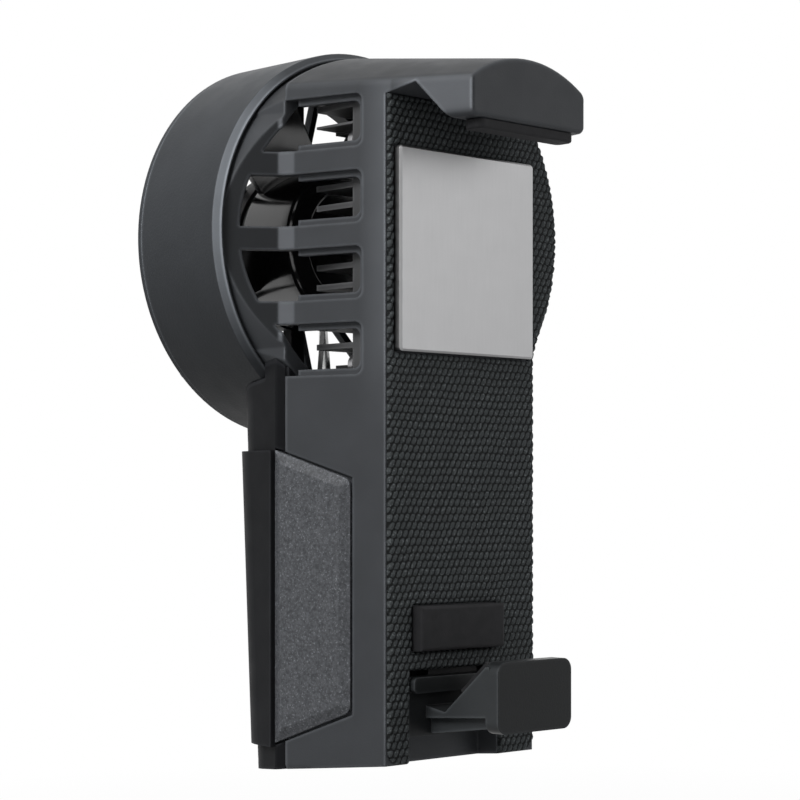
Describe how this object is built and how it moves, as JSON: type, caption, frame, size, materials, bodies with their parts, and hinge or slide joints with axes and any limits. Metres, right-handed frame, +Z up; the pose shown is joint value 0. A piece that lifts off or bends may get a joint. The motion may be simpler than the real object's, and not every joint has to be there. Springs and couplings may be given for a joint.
{
  "type": "phone cooling fan",
  "caption": "Clip-on phone cooler with a cold plate, finned heat sink, ring-guarded fan, fixed upper hook and sprung lower hook.",
  "frame": {"origin": "middle of the cold plate's contact face", "axes": "-Y out of the contact face towards the phone, +Y back towards the fan, +X to the phone side's right, +Z up towards the fixed hook"},
  "size_m": [0.048, 0.0449, 0.0897],
  "materials": {
    "charcoal_plastic": "fine satin moulding texture",
    "ring_plastic": "satin",
    "inner_plastic": "satin",
    "rotor_plastic": "glossy",
    "speckled_plastic": "fine speckle, lightly textured",
    "woven_fabric": "fine weave",
    "black_rubber": "matt",
    "grey_foam": "soft foam",
    "satin_plate": "satin",
    "sink_aluminium": "as extruded",
    "white_ceramic": "matt",
    "screw_steel": "plain",
    "core_steel": "laminated",
    "spring_steel": "drawn wire",
    "socket_steel": "plated",
    "magnet_iron": "sintered",
    "bearing_brass": "sintered",
    "board_green": "board lacquer"
  },
  "bodies": {
    "body": {"front_housing": "charcoal_plastic", "woven_pad": "woven_fabric", "cold_plate": "satin_plate", "upper_hook_pad": "black_rubber", "rubber_block": "black_rubber", "fan_ring": "ring_plastic", "heat_sink": "sink_aluminium", "rear_shell": "charcoal_plastic", "grip_sleeve": "charcoal_plastic", "grip_insert_left": "speckled_plastic", "grip_insert_right": "speckled_plastic", "plate_gasket": "grey_foam", "peltier_cell": "white_ceramic", "thermal_pad": "grey_foam", "heat_sink_screws": "screw_steel", "fan_frame": "inner_plastic", "stator": "core_steel", "fan_board": "board_green", "bearing": "bearing_brass", "rear_grille": "ring_plastic", "grille_screws": "screw_steel", "main_board": "board_green", "usb_socket": "socket_steel", "slider_guide": "inner_plastic", "return_spring_left": "spring_steel", "return_spring_right": "spring_steel", "shell_screws": "screw_steel"},
    "rotor": {"fan_rotor": "rotor_plastic", "magnet_ring": "magnet_iron", "rotor_shaft": "screw_steel"},
    "sliding_hook": {"lower_hook": "charcoal_plastic", "lower_hook_pad": "black_rubber", "hook_slider": "inner_plastic", "hook_screws": "screw_steel"}
  },
  "joints": [
    {"name": "fan_spin", "type": "hinge", "parent": "body", "child": "rotor", "pos_m": [0, 0.0265, 0.0029], "axis": [0, 1, 0], "continuous": true},
    {"name": "hook_slide", "type": "slide", "parent": "body", "child": "sliding_hook", "axis": [0, 0, -1], "range_m": [0, 0.016], "stiffness_N_per_m": 400, "springref_m": -0.01, "deforming": ["return_spring_left", "return_spring_right"]}
  ]
}
